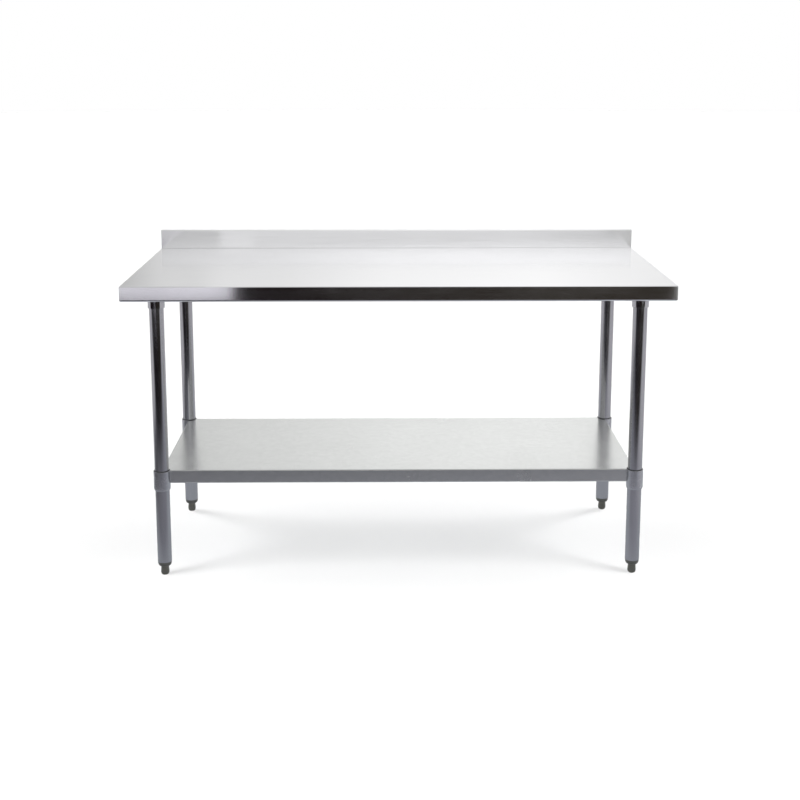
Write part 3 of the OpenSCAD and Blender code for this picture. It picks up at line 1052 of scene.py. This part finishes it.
def floor_card():
    """A glowing sheet just above the floor that stands for it in reflections: a painted reflection of
    the floor.
    """
    card = level_sheet("floor_card", CARD_SIDE, CARD_HEIGHT)
    reflected_only(card)
    material, tree, glow = glow_material("floor_card")
    tree.links.new(floor_tone(tree), glow.inputs["Color"])
    card.data.materials.append(material)


def upright_card(name, y, across, up, strength=1.0, colour=(1.0, 1.0, 1.0)):
    """A glowing card that faces the table, from one X and one height to another."""
    (left, right), (low, high) = across, up
    card = stage_sheet(name, [(left, y, low), (right, y, low), (right, y, high), (left, y, high)])
    reflected_only(card)
    material, tree, glow = glow_material(name)
    glow.inputs["Color"].default_value = (*colour, 1.0)
    glow.inputs["Strength"].default_value = strength
    card.data.materials.append(material)
    return tree, glow


def shade_flag(name, across, along, upwards, fade):
    """A glowing grey card just in front of the work surface, seen only in reflections: painted shade
    that dulls the upstand towards one end.

    Along holds two (X, tone) pairs and upwards a factor for the lower and the upper edge. The card is
    solid up to the first X of fade and clear from the second.
    """
    tree, glow = upright_card(name, FLAG_Y, across, FLAG_UP)
    x, _, z = split(tree, object_place(tree))
    (from_x, from_tone), (to_x, to_tone) = along
    tone = spread(tree, x, from_x, to_x, from_tone, to_tone)
    height = spread(tree, z, *FLAG_UP, *upwards)
    tree.links.new(multiply(tree, tone, height), glow.inputs["Strength"])
    clear = node(tree, "ShaderNodeBsdfTransparent").outputs["BSDF"]
    parts = {0: share_between(tree, x, *fade), 1: glow.outputs["Emission"], 2: clear}
    mixed = node(tree, "ShaderNodeMixShader", parts)
    end = next(each for each in tree.nodes if each.type == "OUTPUT_MATERIAL")
    tree.links.new(mixed.outputs["Shader"], end.inputs["Surface"])


floor_card()
# A low strip of light in front on the left, which brightens the left end of the front apron.
upright_card("strip_card", STRIP_Y, (-6.0, -0.68), (0.43, 0.62), 0.90, STRIP_TINT)
# Two small ones in front of the table's ends, which the ends of the upstand show.
upright_card("right_end_card", END_CARD_Y, (0.945, 1.14), (0.60, 0.72), 0.80)
upright_card("left_end_card", END_CARD_Y, (-1.10, -0.93), (0.645, 0.705), 0.68)
# Two glowing cards that paint shade into the upstand's reflection, towards its right and its left end.
shade_flag(
    "flag_card",
    across=(-0.53, 1.6),
    along=((0.45, 0.94), (0.80, 0.78)),
    upwards=(1.22, 0.78),
    fade=(0.93, 1.6),
)
shade_flag(
    "left_flag_card",
    across=(-1.5, -0.66),
    along=((-1.0, 0.73), (0.0, 0.73)),
    upwards=(1.08, 0.92),
    fade=(-0.92, -1.5),
)

# ---- Sky ----

# Tones of the sky from the left to the right, at shares of the way across.
SKY_ACROSS = (
    (0.30, 0.55),
    (0.402, 0.56),
    (0.416, 0.74),
    (0.428, 0.74),
    (0.438, 0.84),
    (0.46, 0.85),
    (0.50, 1.00),
    (0.56, 1.07),
    (0.61, 0.92),
    (0.75, 0.80),
)
SKY_LOW = 0.72
SKY_AHEAD = 1.30
SKY_HIGH = 0.85
SKY_RIGHT_DIP = 0.55
SKY_BEHIND = 1.20

# Parts of a direction's X, Y or Z between which one strength gives way to the next.
LOW_RISE = (0.08, 0.12)
DIP_RISE = (0.20, 0.25)
DIP_RIGHT = (0.25, 0.45)
HIGH_RISE = (0.33, 0.40)
BEHIND_RISE = (0.18, 0.28)
TO_THE_BACK = (-0.2, 0.2)


def sky_strength(tree, x, y, z):
    """Strength of the sky in a direction.

    In front, the sky is brightest where the work surface shows it, and dimmer low down, high up and
    towards the right, so that other views don't burn out. Behind, it is a little brighter high up.
    """
    low_ahead = spread(tree, z, *LOW_RISE, SKY_LOW, SKY_AHEAD)
    dip = multiply(
        tree, spread(tree, z, *DIP_RISE, 0.0, SKY_RIGHT_DIP), share_between(tree, x, *DIP_RIGHT)
    )
    middle_ahead = math_node(tree, "SUBTRACT", SKY_AHEAD, dip)
    high_ahead = spread(tree, z, *HIGH_RISE, SKY_AHEAD, SKY_HIGH)
    ahead = math_node(tree, "MINIMUM", math_node(tree, "MINIMUM", low_ahead, middle_ahead), high_ahead)
    behind = spread(tree, z, *BEHIND_RISE, 1.0, SKY_BEHIND)
    to_back = share_between(tree, y, *TO_THE_BACK)
    return add(tree, multiply(tree, to_back, behind), multiply(tree, rest_of(tree, to_back), ahead))


world = bpy.data.worlds.new("studio")
bpy.context.scene.world = world
world.use_nodes = True
world.cycles_visibility.diffuse = False
sky = world.node_tree
sky.nodes.clear()
sky_x, sky_y, sky_z = split(sky, node(sky, "ShaderNodeTexCoord").outputs["Generated"])
sky_tone = ramp(sky, share_between(sky, sky_x, -1.0, 1.0), SKY_ACROSS)
background = node(
    sky, "ShaderNodeBackground", {"Color": sky_tone, "Strength": sky_strength(sky, sky_x, sky_y, sky_z)}
)
node(sky, "ShaderNodeOutputWorld", {"Surface": background.outputs["Background"]})

# ---- Lights ----

OVERHEAD_STRENGTH = 0.29
OVERHEAD_SPREAD = 50.0
SIDE_LEAN = 0.95
CORNER_STRENGTH = 1.26
CORNER_SPREAD = 25.0
CORNER_LEAN_X = 0.89
CORNER_LEAN_Y = 0.45


def floor_light(name, towards, strength, spread_angle):
    """A soft light that shines along a direction; the metal reflects the cards instead."""
    data = bpy.data.lights.new(name, "SUN")
    data.energy = strength
    data.angle = math.radians(spread_angle)
    made = in_scene(name, data)
    made.rotation_mode = "QUATERNION"
    made.rotation_quaternion = Vector(towards).to_track_quat("-Z", "Y")
    hide_from(made, "glossy")
    return made


def corner_light(corner):
    """A light past one leg, which draws only that leg's soft shadow in under the table."""
    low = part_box("leg_" + corner)[0]
    inwards = (-math.copysign(CORNER_LEAN_X, low.x), -math.copysign(CORNER_LEAN_Y, low.y), -1.0)
    light = floor_light("light_" + corner, inwards, CORNER_STRENGTH, CORNER_SPREAD)
    blockers = bpy.data.collections.new("shadow_" + corner)
    for piece_name in ("leg_", "leg_insert_", "bullet_foot_"):
        blockers.objects.link(bpy.data.objects[piece_name + corner])
    light.light_linking.blocker_collection = blockers


for name, lean in (("overhead_light", 0.0), ("left_light", SIDE_LEAN), ("right_light", -SIDE_LEAN)):
    floor_light(name, (lean, 0.0, -1.0), OVERHEAD_STRENGTH, OVERHEAD_SPREAD)
for corner in CORNERS:
    corner_light(corner)

# ---- Camera ----

CAMERA_PLACE = (-0.0355, -3.7886, 1.4721)
CAMERA_PITCH = math.radians(10.43)
CAMERA_TURN = math.radians(-0.63)
CAMERA_SENSOR = 36.0
CAMERA_LENS = 58.71
CAMERA_SHIFT = -0.1375

camera_data = bpy.data.cameras.new("camera")
camera_data.sensor_width = CAMERA_SENSOR
camera_data.lens = CAMERA_LENS
camera_data.shift_y = CAMERA_SHIFT
camera = in_scene("camera", camera_data)
camera.location = CAMERA_PLACE
camera.rotation_euler = (math.pi / 2 - CAMERA_PITCH, 0.0, CAMERA_TURN)
bpy.context.scene.camera = camera
bpy.context.scene.view_settings.view_transform = "Standard"
